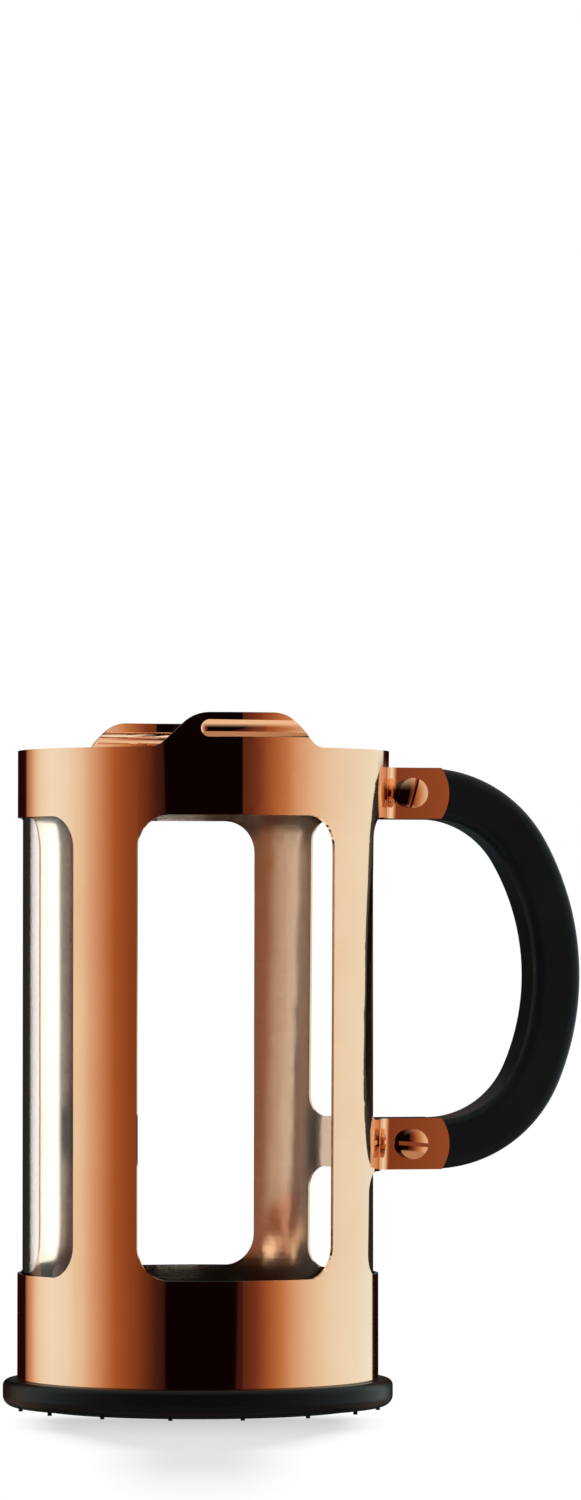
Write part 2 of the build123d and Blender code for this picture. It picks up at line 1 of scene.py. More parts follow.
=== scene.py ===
# %% [markdown]
# # A french press, open for filling
#
# The press stands in a pale studio: a polished copper-plated frame with a glass beaker in it, a black
# base and a black loop handle. Its lid stands beside it on the plunger's filter. The sizes and places
# come from the CAD frame, which this script loads first and never changes.

# %% Load the frame
import math

import bpy
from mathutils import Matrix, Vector


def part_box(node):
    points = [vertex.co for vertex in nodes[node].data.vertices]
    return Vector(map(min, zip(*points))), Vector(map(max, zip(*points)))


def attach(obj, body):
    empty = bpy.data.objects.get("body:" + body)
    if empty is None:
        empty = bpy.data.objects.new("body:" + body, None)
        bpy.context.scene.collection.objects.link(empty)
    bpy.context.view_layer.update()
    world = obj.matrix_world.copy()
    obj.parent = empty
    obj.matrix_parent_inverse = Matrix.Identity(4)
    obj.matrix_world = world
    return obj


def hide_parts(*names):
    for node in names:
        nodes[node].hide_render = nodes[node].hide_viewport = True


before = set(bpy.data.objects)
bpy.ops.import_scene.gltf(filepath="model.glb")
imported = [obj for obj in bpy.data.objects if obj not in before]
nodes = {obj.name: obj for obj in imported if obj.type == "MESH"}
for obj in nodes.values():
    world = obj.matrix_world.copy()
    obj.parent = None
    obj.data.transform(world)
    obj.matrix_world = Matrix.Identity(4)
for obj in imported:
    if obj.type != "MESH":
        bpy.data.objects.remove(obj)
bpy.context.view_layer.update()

# %% [markdown]
# ## Helpers for materials
#
# Each finish is a small graph of nodes. These helpers add a node, set its values and join sockets, so that
# the cells below read as a list of what happens to the surface.

# %% Material helpers
def new_finish(name):
    """A material with one Principled surface, returned with that surface."""
    material = bpy.data.materials.new(name)
    material.use_nodes = True
    return material, material.node_tree.nodes["Principled BSDF"]


def add_node(owner, kind, inputs=None, **settings):
    """Add a node; inputs maps a socket's name or number to a value or to another node's socket."""
    node = owner.node_tree.nodes.new(kind)
    for key, value in settings.items():
        setattr(node, key, value)
    for key, value in (inputs or {}).items():
        if isinstance(value, bpy.types.NodeSocket):
            owner.node_tree.links.new(value, node.inputs[key])
        else:
            node.inputs[key].default_value = value
    return node


def join(owner, output, node, key):
    owner.node_tree.links.new(output, node.inputs[key])


def maths(owner, operation, *values):
    """One Math node; each value is a number or a socket."""
    return add_node(owner, "ShaderNodeMath", dict(enumerate(values)), operation=operation).outputs[0]


def place_on(owner, scale=(1, 1, 1), centre=(0, 0, 0)):
    """The surface point in the piece's own coordinates, from a centre, stretched for a pattern."""
    point = add_node(owner, "ShaderNodeTexCoord").outputs["Object"]
    moved = add_node(owner, "ShaderNodeVectorMath", {0: point, 1: centre}, operation="SUBTRACT").outputs[0]
    return add_node(owner, "ShaderNodeMapping", {0: moved, "Scale": scale}).outputs[0]


def noise(owner, place, scale, detail=2.0):
    return add_node(owner, "ShaderNodeTexNoise", {0: place, "Scale": scale, "Detail": detail}).outputs[0]


def ramp(owner, value, *stops):
    """A colour ramp; stops are (position, grey or colour)."""
    node = add_node(owner, "ShaderNodeValToRGB", {0: value})
    elements = node.color_ramp.elements
    while len(elements) < len(stops):
        elements.new(0.5)
    for element, (position, colour) in zip(elements, stops):
        element.position = position
        element.color = (*colour, 1) if isinstance(colour, tuple) else (colour, colour, colour, 1)
    return node.outputs["Color"]


def mix_colours(owner, factor, first, second):
    return add_node(owner, "ShaderNodeMix", {0: factor, 6: first, 7: second}, data_type="RGBA").outputs[2]


def rise(owner, value, low, high):
    """0 where a value is at low and 1 where it is at high, with a smooth change between them."""
    return add_node(owner, "ShaderNodeMapRange", {0: value, 1: low, 2: high},
                    interpolation_type="SMOOTHSTEP").outputs[0]


def bump(owner, height, surface, distance):
    """Raise the surface by a distance in metres times what the pattern gives."""
    node = add_node(owner, "ShaderNodeBump", {"Height": height, "Distance": distance, "Strength": 1.0})
    join(owner, node.outputs[0], surface, "Normal")


def dress(material, *names):
    """Put one finish on the named nodes of the frame, and on nothing else."""
    for name in names:
        nodes[name].data.materials.clear()
        nodes[name].data.materials.append(material)
    print(material.name, "on", ", ".join(names), "with", len(material.node_tree.nodes), "shader nodes")


# %% [markdown]
# ## Copper plate
#
# The frame, the dome and the handle's screws are steel with a thin coat of polished copper. Outside, the
# sheet is buffed to a mirror, and inside it stays satin, with fine lines running round it from the polishing
# belt. One finish could be made for each side, but the sheet is one piece, so one finish does both: it asks
# whether the surface faces the press's axis and lies below the glass's rim, where the belt stopped.

# %% Polished copper
SATIN_TOP = 0.1785
COPPER = ((0.90, 0.585, 0.385), (0.955, 0.645, 0.44))
MIRROR_ROUGHNESS = (0.045, 0.075)
SATIN_COPPER = ((0.745, 0.58, 0.469), (0.77, 0.603, 0.487))
SATIN_ROUGHNESS = (0.105, 0.125)
BUFFING_DEPTH = 0.000001
BELT_DEPTH = 0.000004
FACES_INWARDS = -0.02


def copper_finish(name, has_inside):
    """Copper whose tone and polish drift a little, with a satin inside where it has one."""
    material, surface = new_finish(name)
    surface.inputs["Metallic"].default_value = 1.0
    cloud = noise(material, place_on(material), 35.0, 4.0)
    tone = ramp(material, cloud, (0.3, COPPER[0]), (0.7, COPPER[1]))
    polish = ramp(material, cloud, (0.3, MIRROR_ROUGHNESS[0]), (0.7, MIRROR_ROUGHNESS[1]))
    swirl = noise(material, place_on(material, (1, 1, 6)), 900.0)
    if not has_inside:
        join(material, tone, surface, "Base Color")
        join(material, polish, surface, "Roughness")
        bump(material, swirl, surface, BUFFING_DEPTH)
        return material
    sides = add_node(material, "ShaderNodeTexCoord")
    flat = add_node(material, "ShaderNodeVectorMath", {0: sides.outputs["Object"], 1: (1, 1, 0)},
                    operation="MULTIPLY").outputs[0]
    facing = add_node(material, "ShaderNodeVectorMath", {0: sides.outputs["Normal"], 1: flat},
                      operation="DOT_PRODUCT").outputs["Value"]
    height = add_node(material, "ShaderNodeSeparateXYZ", {0: sides.outputs["Object"]}).outputs["Z"]
    below_rim = maths(material, "LESS_THAN", height, SATIN_TOP)
    inwards = maths(material, "LESS_THAN", facing, FACES_INWARDS)
    inside = maths(material, "MULTIPLY", inwards, below_rim)
    lines = noise(material, place_on(material, (6, 6, 1500)), 1.0, 3.0)
    satin = ramp(material, lines, (0.35, SATIN_ROUGHNESS[0]), (0.65, SATIN_ROUGHNESS[1]))
    rough = add_node(material, "ShaderNodeMix", {0: inside, 2: polish, 3: satin})
    join(material, rough.outputs[0], surface, "Roughness")
    dull = ramp(material, lines, (0.35, SATIN_COPPER[0]), (0.65, SATIN_COPPER[1]))
    join(material, mix_colours(material, inside, tone, dull), surface, "Base Color")
    relief = add_node(material, "ShaderNodeMix", {0: inside, 2: maths(material, "MULTIPLY", swirl, 0.1),
                                                  3: lines})
    bump(material, relief.outputs[0], surface, BELT_DEPTH)
    return material


dress(copper_finish("polished and brushed copper", True), "frame_shell")
dress(copper_finish("polished copper", False), "handle_screw_upper", "handle_screw_lower",
      "handle_sleeve_upper", "handle_sleeve_lower", "lid_dome")

# %% [markdown]
# ## Black plastic
#
# The base, the handle, the knob and the lid's liner are moulded in black plastic. A moulding isn't one
# black: the mould's skin leaves a very fine grain, and it wears a little glossier in some places. The grain
# could be painted on an unwrapped mesh, but noise that reads the piece's own coordinates needs no
# unwrapping and shows no seam.

# %% Black plastic
BLACK_PLASTIC = ((0.0050, 0.0056, 0.0070), (0.0075, 0.0080, 0.0095))
PLASTIC_GLOSS = 0.16
PLASTIC_GLOSS_TINT = (0.55, 0.85, 1.0, 1)


def plastic_finish(name, roughness, grain):
    """Black plastic of a mean roughness, with a grain of a depth in metres."""
    material, surface = new_finish(name)
    surface.inputs["Specular IOR Level"].default_value = PLASTIC_GLOSS
    surface.inputs["Specular Tint"].default_value = PLASTIC_GLOSS_TINT
    patches = noise(material, place_on(material), 40.0, 3.0)
    join(material, ramp(material, patches, (0.3, BLACK_PLASTIC[0]), (0.7, BLACK_PLASTIC[1])), surface,
         "Base Color")
    join(material, ramp(material, patches, (0.3, roughness * 0.9), (0.7, roughness * 1.15)), surface,
         "Roughness")
    bump(material, noise(material, place_on(material), 2500.0), surface, grain)
    return material


dress(plastic_finish("satin black plastic", 0.31, 0.000012), "base", "handle_grip", "lid_liner")
dress(plastic_finish("smooth black plastic", 0.22, 0.000004), "knob")

# %% [markdown]
# ## Glass
#
# The beaker is blown glass, two millimetres thick. It is clear, but a long look along its wall turns green
# and dark. A see-through shader with a painted edge could stand for it. Here the light really passes
# through the wall and loses a little on the way, so the dark sides and the rim come out by themselves.

# %% Clear glass
GLASS_IOR = 1.47
GLASS_GLOSS_TINT = (0.42, 0.30, 0.24, 1)
GLASS_GREEN = (0.30, 0.66, 0.58, 1)
GLASS_DENSITY = 7.0
RIPPLE_DEPTH = 0.00002
clear_glass, glass_surface = new_finish("clear glass")
glass_surface.inputs["Specular Tint"].default_value = GLASS_GLOSS_TINT
glass_surface.inputs["Base Color"].default_value = (1.0, 1.0, 1.0, 1)
glass_surface.inputs["IOR"].default_value = GLASS_IOR
glass_surface.inputs["Transmission Weight"].default_value = 1.0
ripple = noise(clear_glass, place_on(clear_glass, (1, 1, 0.4)), 45.0)
join(clear_glass, ramp(clear_glass, ripple, (0.4, 0.0), (0.6, 0.012)), glass_surface, "Roughness")
bump(clear_glass, ripple, glass_surface, RIPPLE_DEPTH)
inside_glass = add_node(clear_glass, "ShaderNodeVolumeAbsorption",
                        {"Color": GLASS_GREEN, "Density": GLASS_DENSITY})
join(clear_glass, inside_glass.outputs[0], clear_glass.node_tree.nodes["Material Output"], "Volume")
dress(clear_glass, "glass_beaker")

# %% [markdown]
# ## Steel and brass
#
# The plunger's parts are stainless steel: the rod is drawn and polished, the plates are pressed from brushed
# sheet, and the filter is woven from fine wire. The threaded insert in the knob is brass. Each way of
# working leaves its own lines, along the rod or round a turned collar. The Anisotropic value could smear
# the highlight without showing any line, so stretched noise draws the lines, and one helper serves them all.

# %% Drawn, turned and pressed metal
def metal_finish(name, colour, roughness, scale, depth):
    """A metal with lines along the short directions of scale."""
    material, surface = new_finish(name)
    surface.inputs["Metallic"].default_value = 1.0
    lines = noise(material, place_on(material, scale), 1.0, 3.0)
    light = tuple(min(1.0, part * 1.06) for part in colour)
    join(material, ramp(material, lines, (0.35, colour), (0.65, light)), surface, "Base Color")
    join(material, ramp(material, lines, (0.35, roughness * 0.8), (0.65, roughness * 1.25)), surface,
         "Roughness")
    bump(material, lines, surface, depth)
    return material


STEEL = (0.58, 0.575, 0.56)
BRASS = (0.80, 0.60, 0.27)
dress(metal_finish("drawn steel", STEEL, 0.14, (2500, 2500, 8), 0.000002), "plunger_rod")
dress(metal_finish("brushed steel", STEEL, 0.26, (20, 1400, 1400), 0.000004), "cross_plate", "spiral_plate")
dress(metal_finish("turned steel", STEEL, 0.2, (30, 30, 2500), 0.000004), "rod_collar", "cross_hub",
      "lid_bush", "bush_clip", "edge_spring")
dress(metal_finish("turned brass", BRASS, 0.25, (30, 30, 2500), 0.000004), "knob_insert")

# %% [markdown]
# ## Filter mesh
#
# The filter is woven wire. At half a millimetre from wire to wire it is far too fine to model, so two
# crossed waves make the weave in the surface: where one wire dips, the other rises over it. In the gaps
# between the wires the colour is painted almost black, as painted shade.

# %% Woven mesh
WAVE_LENGTH = 0.0009  # two wires to each wave
WEAVE_DEPTH = 0.0001
mesh_low, mesh_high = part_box("filter_mesh")
woven, mesh_surface = new_finish("woven steel mesh")
mesh_surface.inputs["Metallic"].default_value = 1.0
spot = add_node(woven, "ShaderNodeSeparateXYZ", {0: place_on(woven, centre=(mesh_low + mesh_high) / 2)})
waves = [maths(woven, "SINE", maths(woven, "MULTIPLY", spot.outputs[i], 2 * math.pi / WAVE_LENGTH))
         for i in (0, 1)]
weave = maths(woven, "MULTIPLY", *waves)
wire = maths(woven, "MAXIMUM", *[maths(woven, "ABSOLUTE", wave) for wave in waves])
# near-black where neither wave holds a wire: painted shade in the gaps between the wires
join(woven, ramp(woven, wire, (0.35, 0.03), (0.75, (0.60, 0.59, 0.57))), mesh_surface, "Base Color")
join(woven, ramp(woven, wire, (0.4, 0.6), (0.9, 0.25)), mesh_surface, "Roughness")
bump(woven, maths(woven, "MULTIPLY_ADD", weave, 0.3, wire), mesh_surface, WEAVE_DEPTH)
dress(woven, "filter_mesh")

# %% [markdown]
# ## The filter's edge spring
#
# A long thin coil, closed to a ring, presses the mesh against the beaker. In the frame it is a plain ring
# of the coil's outside size. One turn could be copied round the ring, but then the turns wouldn't join.
# A coil is a circle of wire swept along a screw line, so the Screw modifier makes it straight and a Simple
# Deform bends it round, which keeps every turn the same and in one piece.

# %% Mesh helpers
def select_only(piece):
    """Operators act on what is selected, so only one piece may be."""
    bpy.ops.object.select_all(action="DESELECT")
    piece.select_set(True)
    bpy.context.view_layer.objects.active = piece


def finish_with(piece, kind, **settings):
    """Add a modifier, set it and apply it."""
    modifier = piece.modifiers.new(kind.lower(), kind)
    for key, value in settings.items():
        setattr(modifier, key, value)
    select_only(piece)
    bpy.ops.object.modifier_apply(modifier=modifier.name)
    print(piece.name, "after its", kind, "modifier:", len(piece.data.polygons), "faces")


# %% Straight coil
spring_low, spring_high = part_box("edge_spring")
spring_centre = (spring_low + spring_high) / 2
COIL_R = (spring_high.z - spring_low.z) / 2
RING_R = (spring_high.x - spring_low.x) / 2 - COIL_R
SPRING_WIRE_R = 0.00028
WIRE_SIDES = 6
SPRING_TURNS = 260
STEPS_PER_TURN = 10
bpy.ops.object.select_all(action="DESELECT")
bpy.ops.mesh.primitive_circle_add(vertices=WIRE_SIDES, radius=SPRING_WIRE_R,
                                  location=(COIL_R - SPRING_WIRE_R, 0, 0), rotation=(math.pi / 2, 0, 0))
edge_coil = bpy.context.object
edge_coil.name = "edge_coil"
bpy.ops.object.transform_apply(location=True, rotation=True)
finish_with(edge_coil, "SCREW", axis="Z", screw_offset=2 * math.pi * RING_R / SPRING_TURNS,
            steps=STEPS_PER_TURN, render_steps=STEPS_PER_TURN, iterations=SPRING_TURNS,
            use_normal_calculate=True, use_merge_vertices=True)

# %% Bend the coil to a ring
edge_coil.rotation_euler = (0, math.pi / 2, 0)
select_only(edge_coil)
bpy.ops.object.transform_apply(rotation=True)
finish_with(edge_coil, "SIMPLE_DEFORM", deform_method="BEND", deform_axis="Z", angle=2 * math.pi)
corners = [edge_coil.matrix_world @ Vector(corner) for corner in edge_coil.bound_box]
coil_low = Vector(min(corner[i] for corner in corners) for i in range(3))
coil_high = Vector(max(corner[i] for corner in corners) for i in range(3))
edge_coil.location = spring_centre - (coil_low + coil_high) / 2
select_only(edge_coil)
bpy.ops.object.transform_apply(location=True)

# %% Close the ring and put it on the plunger
SEAM_GAP = 0.00002
bpy.ops.object.mode_set(mode="EDIT")
bpy.ops.mesh.select_all(action="SELECT")
bpy.ops.mesh.remove_doubles(threshold=SEAM_GAP)
bpy.ops.mesh.normals_make_consistent(inside=False)
bpy.ops.object.mode_set(mode="OBJECT")
bpy.ops.object.shade_smooth()
edge_coil.data.materials.append(metal_finish("spring wire", STEEL, 0.2, (60, 60, 60), 0.000001))
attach(edge_coil, "plunger")
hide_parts("edge_spring")
print("spring", [round(v, 4) for v in (*coil_low, *coil_high)], "faces", len(edge_coil.data.polygons))

# %% [markdown]
# ## The room
#
# The press stands in a white room. A white world lights it evenly and without a visible lamp. It could light
# everything at the same level, but the dull surfaces would come out flat and the black plastic grey, so
# they get a little less of it than the camera and the polished surfaces see.

# %% Room
scene = bpy.context.scene
scene.view_settings.view_transform = "Standard"
DULL_LEVEL = 0.7
CLEAR_GAIN = 1.12
room = bpy.data.worlds.new("studio")
room.use_nodes = True
scene.world = room
room_rays = add_node(room, "ShaderNodeLightPath")
straight = maths(room, "MAXIMUM", room_rays.outputs["Is Camera Ray"], room_rays.outputs["Is Glossy Ray"])
seen = mix_colours(room, straight, (DULL_LEVEL, DULL_LEVEL, DULL_LEVEL, 1), (1, 1, 1, 1))
clear = maths(room, "MULTIPLY_ADD", room_rays.outputs["Is Transmission Ray"], CLEAR_GAIN - 1, 1.0)
join(room, seen, room.node_tree.nodes["Background"], "Color")
join(room, clear, room.node_tree.nodes["Background"], "Strength")
print("room level for dull surfaces:", DULL_LEVEL)

# %% [markdown]
# ## The light tent
#
# Polished metal shows what stands round it, so that is designed too. Lamps of their own would give the
# copper small hard highlights. A tent of cloth and card gives long soft ones, so the press stands in a
# round tent that only mirrored rays see. Its wall is black where the camera looks in, brightens through
# orange and cream to white at both sides, and is black again behind, which draws a dark line down the
# frame's two edges. At the very back a faint cool dusk keeps the handle's inner side from going quite
# black. The colours are ramps over the angle round the press, so a stripe in the copper is moved by
# changing one angle.

# %% Places on the tent's wall
CAMERA_AZIMUTH = math.radians(-14)
TENT_R = 0.4
TENT_TOP = 0.75
TENT_BOTTOM = -0.25
HALF_TURN = 180
tent_light = bpy.data.materials.new("tent light")
tent_light.use_nodes = True
tent_light.node_tree.nodes.clear()
on_wall = add_node(tent_light, "ShaderNodeTexCoord").outputs["Object"]
turned = add_node(tent_light, "ShaderNodeVectorRotate", {"Vector": on_wall, "Angle": -CAMERA_AZIMUTH},
                  rotation_type="Z_AXIS")
to_side, away, up = add_node(tent_light, "ShaderNodeSeparateXYZ", {0: turned.outputs[0]}).outputs[:3]
to_camera = maths(tent_light, "MULTIPLY", away, -1.0)
turn = maths(tent_light, "ARCTAN2", maths(tent_light, "ABSOLUTE", to_side), to_camera)
half_turns = maths(tent_light, "DIVIDE", turn, math.pi)
on_right = maths(tent_light, "GREATER_THAN", to_side, 0.0)


def wall(*stops):
    """The tent's wall, by degrees from the camera's direction."""
    return ramp(tent_light, half_turns, *[(degrees / HALF_TURN, colour) for degrees, colour in stops])


print("tent radius:", TENT_R, "height:", TENT_TOP - TENT_BOTTOM)

# %% Colours of the tent's wall
BLACK = (0.004, 0.001, 0.001)
LIMB_BLACK = (0.017, 0.003, 0.0015)
FAR_DUSK = (0.07, 0.11, 0.12)
left_wall = wall(
    (18.8, BLACK), (19.3, (0.03, 0.01, 0.009)), (26, (0.08, 0.02, 0.012)), (41, (0.28, 0.085, 0.03)),
    (51, (0.41, 0.14, 0.05)), (58, (0.57, 0.29, 0.15)), (67, (0.73, 0.52, 0.40)), (75, (0.86, 0.80, 0.67)),
    (87, (0.91, 1.0, 1.0)), (102, (0.94, 1.08, 1.10)), (115, (0.89, 0.90, 0.80)),
    (121.5, (0.83, 0.66, 0.51)), (127, (0.66, 0.39, 0.25)), (131, (0.55, 0.28, 0.16)),
    (134.5, (0.33, 0.18, 0.115)), (137.5, LIMB_BLACK), (166, LIMB_BLACK), (173, FAR_DUSK))
right_wall = wall(
    (18, (0.035, 0.01, 0.008)), (28, (0.075, 0.019, 0.013)), (36, (0.22, 0.06, 0.028)),
    (43, (0.39, 0.14, 0.055)), (51, (0.55, 0.26, 0.12)), (59, (0.72, 0.47, 0.33)), (68, (0.82, 0.67, 0.54)),
    (77, (0.86, 0.83, 0.74)), (88, (0.89, 0.95, 0.90)), (100, (0.90, 1.0, 0.99)), (129, (0.91, 1.07, 1.05)),
    (140, (0.92, 1.05, 0.97)), (143, LIMB_BLACK), (166, LIMB_BLACK), (173, FAR_DUSK))
print("wall colours:", len(tent_light.node_tree.nodes), "shader nodes so far")

# %% [markdown]
# ## Edges and ends of the tent
#
# Card laid against the tent's wall gives its black a straight edge. On the right that edge leans outwards
# with height, and a warm card further back tints the dark line by the handle. Overhead the wall turns
# cream. Low down it is the brown of a table, and dark far behind, so that the base's lower edge stays
# black. Each could be a mesh of its own, but a mask on the same wall throws no shadow and needs no more
# faces. Each pair of numbers says where a change starts and where it is complete.

# %% Edges and ends of the tent
OVERHEAD = (0.92, 0.77, 0.62, 1)
OVERHEAD_HEIGHTS = (0.21, 0.62)
WARM_CARD = (0.22, 0.09, 0.04, 1)
WARM_START, WARM_FULL = 130 / HALF_TURN, 141 / HALF_TURN
WARM_FOOT = (0.09, 0.14)
WARM_TOP = (0.182, 0.188)
EDGE_AT_TABLE = 21.7 / HALF_TURN
EDGE_LEAN = 24.3 / HALF_TURN
GROUND = (0.52, 0.32, 0.21, 1)
FAR_GROUND = (0.05, 0.06, 0.06, 1)
WALL_FOOT = (-0.07, -0.035)
FLOOR_SKIN = 0.005
FLOOR_DUSK = (-0.02, 0.10)
WALL_DUSK = (0.26, 0.38)
black_edge = maths(tent_light, "MULTIPLY_ADD", up, EDGE_LEAN, EDGE_AT_TABLE)
beside = maths(tent_light, "LESS_THAN", half_turns, black_edge)
right_open = mix_colours(tent_light, beside, right_wall, (*BLACK, 1))
warm_edge = add_node(tent_light, "ShaderNodeMapRange", {0: half_turns, 1: WARM_START, 2: WARM_FULL})
warm_height = maths(tent_light, "SUBTRACT", rise(tent_light, up, *WARM_FOOT),
                    rise(tent_light, up, *WARM_TOP))
warm = maths(tent_light, "MULTIPLY", warm_edge.outputs[0], warm_height)
right_side = mix_colours(tent_light, warm, right_open, WARM_CARD)
walls = mix_colours(tent_light, on_right, left_wall, right_side)
above = mix_colours(tent_light, rise(tent_light, up, *OVERHEAD_HEIGHTS), walls, OVERHEAD)
tent_floor = maths(tent_light, "LESS_THAN", up, TENT_BOTTOM + FLOOR_SKIN)
floor_behind = maths(tent_light, "MULTIPLY", tent_floor, rise(tent_light, away, *FLOOR_DUSK))
dusk = maths(tent_light, "MAXIMUM", floor_behind, rise(tent_light, away, *WALL_DUSK))
below = mix_colours(tent_light, dusk, GROUND, FAR_GROUND)
glow = mix_colours(tent_light, rise(tent_light, up, *WALL_FOOT), below, above)
print("tent colours join at", len(tent_light.node_tree.nodes), "shader nodes")

# %% [markdown]
# ## The tent's light
#
# The wall shines by itself, and only towards the press. Seen from outside, and by rays that have not been
# mirrored yet, it is clear. The rear straps are seen through both walls of the glass and mirror each other,
# which would need many more mirrored rays than a render traces. Rays that have gone through the glass that
# often get a painted reflection of the straps from the wall itself: the copper's brown and red, and a
# stronger light from its right side. A little green haze stands for what the glass scatters.

# %% Light of the tent's wall
PASSES = 5.5  # a ray there and back crosses the glass's surfaces six times or more
RIGHT_GAIN = 1.45
PALE = (0.93, 1.0, 1.0)
WARM_PALE = (1.0, 0.88, 0.80)
STRAP_REFLECTION_RED = (0.50, 0.03, 0.0)
STRAP_REFLECTION_BROWN = (0.13, 0.042, 0.016)
GLASS_HAZE = (0.45, 0.90, 0.80, 1)
HAZE_SHARE = 0.03
tent_rays = add_node(tent_light, "ShaderNodeLightPath")
through_and_back = maths(tent_light, "GREATER_THAN", tent_rays.outputs["Transmission Depth"], PASSES)
behind_glass = maths(tent_light, "MULTIPLY", through_and_back, on_right)
strength = maths(tent_light, "MULTIPLY_ADD", behind_glass, RIGHT_GAIN, 1.0)
# painted reflection: for rays gone through the glass, the wall shows the copper brown and red that one strap
# would show in the other
right_mirrored = wall((60, PALE), (76, PALE), (82, STRAP_REFLECTION_RED), (109, STRAP_REFLECTION_RED), (113, PALE), (160, PALE),
                      (166, LIMB_BLACK))
left_mirrored = wall((34, (0.25, 0.09, 0.04)), (45, (0.32, 0.12, 0.05)), (52, (0.64, 0.44, 0.31)),
                     (66, (0.86, 0.68, 0.54)), (70, STRAP_REFLECTION_BROWN), (90, STRAP_REFLECTION_BROWN), (97, WARM_PALE))
mirrored_wall = mix_colours(tent_light, on_right, left_mirrored, right_mirrored)
strap_light = mix_colours(tent_light, through_and_back, glow, mirrored_wall)
haze = maths(tent_light, "MULTIPLY", tent_rays.outputs["Is Transmission Ray"], HAZE_SHARE)
hazy = mix_colours(tent_light, haze, strap_light, GLASS_HAZE)
shining = add_node(tent_light, "ShaderNodeEmission", {"Color": hazy, "Strength": strength}).outputs[0]
gone = add_node(tent_light, "ShaderNodeBsdfTransparent").outputs[0]
mirrored = maths(tent_light, "GREATER_THAN", tent_rays.outputs["Glossy Depth"], 0.5)
from_inside = add_node(tent_light, "ShaderNodeNewGeometry").outputs["Backfacing"]
shows = maths(tent_light, "MULTIPLY", mirrored, from_inside)
shown = add_node(tent_light, "ShaderNodeMixShader", {0: shows, 1: gone, 2: shining})
join(tent_light, shown.outputs[0], add_node(tent_light, "ShaderNodeOutputMaterial"), "Surface")
print("tent light:", len(tent_light.node_tree.nodes), "shader nodes")

# %% Tent
bpy.ops.object.select_all(action="DESELECT")
bpy.ops.mesh.primitive_cylinder_add(vertices=128, radius=TENT_R, depth=TENT_TOP - TENT_BOTTOM,
                                    location=(0, 0, (TENT_TOP + TENT_BOTTOM) / 2))
tent = bpy.context.object
tent.name = "light_tent"
bpy.ops.object.transform_apply(location=True)
tent.data.materials.append(tent_light)
for sort in ("camera", "diffuse", "volume_scatter", "shadow"):
    setattr(tent, f"visible_{sort}", False)
print(tent.name, "has", len(tent.data.polygons), "faces")

# %% [markdown]
# ## Floor
#
# The press stands on a pale glossy sheet. A plain white sheet would show a grey horizon, so this one glows
# for the camera and melts into the white room. In front of the press it keeps a weak mirror image, which
# narrows and fades with the distance. A second, glossy sheet could lie there, but its edge would show. One
# material does both: it mixes the glow and the mirror by place.

# %% Floor sheet
FLOOR_R = 6.0
FLOOR_GLOW = 1.02
bpy.ops.object.select_all(action="DESELECT")
bpy.ops.mesh.primitive_circle_add(vertices=96, radius=FLOOR_R, fill_type="NGON", location=(0, 0, 0))
floor = bpy.context.object
floor.name = "floor"
floor.visible_glossy = False
floor_finish, floor_surface = new_finish("pale floor")
floor_surface.inputs["Base Color"].default_value = (0.95, 0.95, 0.95, 1)
floor_surface.inputs["Roughness"].default_value = 0.6
floor_surface.inputs["Specular IOR Level"].default_value = 0.1
print(floor.name, "radius:", FLOOR_R)

# %% Mirror in front of the press
IN_FRONT = (-0.02, -0.05)
NARROW_START, NARROW_END = 0.09, 0.16
OUTER_HALF_WIDTHS = (0.056, 0.042)  # near the press, and further off
INNER_HALF_WIDTHS = (0.034, 0.004)
MIRROR_END = 0.85  # as a share of the tent's radius
MIRROR_SHARE = 0.9
SHEET_ROUGHNESS = 0.06
on_floor = add_node(floor_finish, "ShaderNodeTexCoord").outputs["Object"]
far = add_node(floor_finish, "ShaderNodeVectorMath", {0: on_floor}, operation="LENGTH").outputs["Value"]
floor_turned = add_node(floor_finish, "ShaderNodeVectorRotate",
                        {"Vector": on_floor, "Angle": -CAMERA_AZIMUTH}, rotation_type="Z_AXIS")
floor_place = add_node(floor_finish, "ShaderNodeSeparateXYZ", {0: floor_turned.outputs[0]})
floor_side, floor_away = floor_place.outputs[:2]
before = rise(floor_finish, floor_away, *IN_FRONT)
outer_edge, inner_edge = [
    add_node(floor_finish, "ShaderNodeMapRange",
             {0: far, 1: NARROW_START, 2: NARROW_END, 3: near, 4: distant}).outputs[0]
    for near, distant in (OUTER_HALF_WIDTHS, INNER_HALF_WIDTHS)]
between = rise(floor_finish, maths(floor_finish, "ABSOLUTE", floor_side), outer_edge, inner_edge)
patch = maths(floor_finish, "MULTIPLY", before, between)
fading = ramp(floor_finish, maths(floor_finish, "DIVIDE", far, TENT_R),
              (0.135, 0.44), (0.19, 0.38), (0.28, 0.29), (0.50, 0.26), (0.65, 0.12), (MIRROR_END, 0.0))
share = maths(floor_finish, "MULTIPLY", patch, fading)
shine = maths(floor_finish, "MULTIPLY", patch, MIRROR_SHARE)
mirror = add_node(floor_finish, "ShaderNodeBsdfGlossy", {"Roughness": SHEET_ROUGHNESS})
sheet = add_node(floor_finish, "ShaderNodeMixShader",
                 {0: shine, 1: floor_surface.outputs[0], 2: mirror.outputs[0]})
print("mirror fades out", round(MIRROR_END * TENT_R, 2), "m from the press")

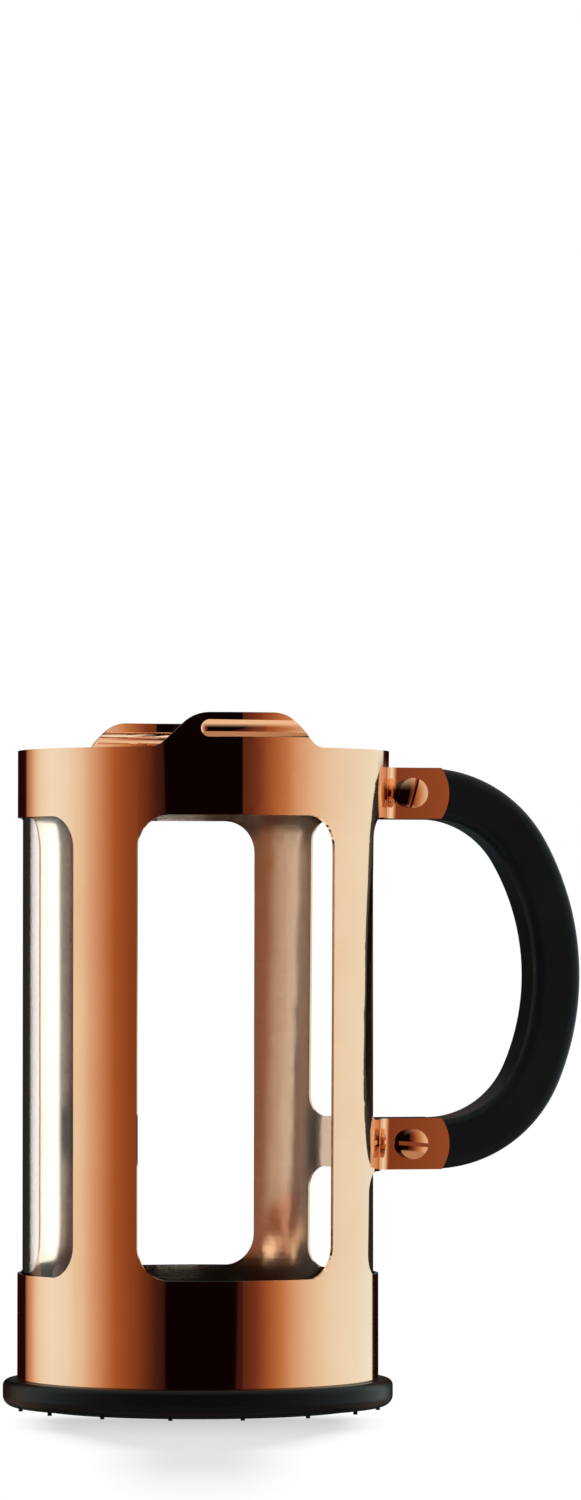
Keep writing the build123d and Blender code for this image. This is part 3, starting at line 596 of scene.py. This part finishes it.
# %% Glow of the floor
floor_rays = add_node(floor_finish, "ShaderNodeLightPath")
floor_gain = maths(floor_finish, "MULTIPLY_ADD", floor_rays.outputs["Is Transmission Ray"], CLEAR_GAIN - 1,
                   FLOOR_GLOW)
floor_glow = add_node(floor_finish, "ShaderNodeEmission", {"Strength": floor_gain})
floor_straight = maths(floor_finish, "MAXIMUM", floor_rays.outputs["Is Camera Ray"],
                       floor_rays.outputs["Is Transmission Ray"])
glow_share = maths(floor_finish, "MULTIPLY", floor_straight, maths(floor_finish, "SUBTRACT", 1.0, share))
floor_shown = add_node(floor_finish, "ShaderNodeMixShader",
                       {0: glow_share, 1: sheet.outputs[0], 2: floor_glow.outputs[0]})
join(floor_finish, floor_shown.outputs[0], floor_finish.node_tree.nodes["Material Output"], "Surface")
floor.data.materials.append(floor_finish)
print(floor_finish.name, "on", floor.name)

# %% [markdown]
# ## Lamp
#
# The world's light comes from everywhere and throws no shadow that can be seen. One large soft lamp high
# behind the press gives the light a side, so that a short pale shadow falls forwards and the black pieces
# get a lighter upper edge. A point lamp would throw a hard shadow. The copper doesn't mirror the lamp.

# %% Lamp
LAMP_WATTS = 10
LAMP_SIZE = 0.8
LAMP_PLACE = (0.09, 0.35, 1.3)
LAMP_TARGET = Vector((0, 0, 0.1))
lamp_data = bpy.data.lights.new("key", "AREA")
lamp_data.energy = LAMP_WATTS
lamp_data.size = LAMP_SIZE
key = bpy.data.objects.new("key", lamp_data)
scene.collection.objects.link(key)
key.location = LAMP_PLACE
key.rotation_euler = (LAMP_TARGET - key.location).to_track_quat("-Z", "Y").to_euler()
key.visible_glossy = False
print("lamp:", LAMP_WATTS, "W, size", LAMP_SIZE, "m")

# %% [markdown]
# ## Camera
#
# The camera stands a little to the left of the handle's square side view, just above the press's middle.
# A wide lens close by would show more of the inside but make the rear straps look small, so a long lens
# from further off is used. It is tilted up a little, to leave air above the press.

# %% Camera
CAMERA_DISTANCE = 1.873
CAMERA_HEIGHT = 0.12804
CAMERA_YAW = math.radians(0.785)
CAMERA_PITCH = math.radians(1.66)
SENSOR_WIDTH = 36
LENS = 161.95
camera_data = bpy.data.cameras.new("camera")
camera_data.sensor_width = SENSOR_WIDTH
camera_data.lens = LENS
camera = bpy.data.objects.new("camera", camera_data)
scene.collection.objects.link(camera)
camera.location = (
    CAMERA_DISTANCE * math.sin(CAMERA_AZIMUTH), -CAMERA_DISTANCE * math.cos(CAMERA_AZIMUTH), CAMERA_HEIGHT)
camera.rotation_euler = (math.pi / 2 + CAMERA_PITCH, 0, CAMERA_AZIMUTH - CAMERA_YAW)
scene.camera = camera
print("camera at", [round(v, 3) for v in camera.location], "lens", LENS)

# %% [markdown]
# ## What the copper mirrors
#
# The lid stands so close beside the press that its dark mirror image would run down the copper. The two
# could be moved further apart, but their places belong to the CAD frame, so the lid and the plunger are
# left out of the mirrored rays instead.

# %% Finish
LID_AND_PLUNGER = ("lid_dome", "lid_liner", "lid_bush", "bush_clip", "knob", "knob_insert", "plunger_rod",
                   "rod_collar", "spiral_plate", "filter_mesh", "cross_plate", "cross_hub")
for piece in (edge_coil, *[nodes[name] for name in LID_AND_PLUNGER]):
    piece.visible_glossy = False
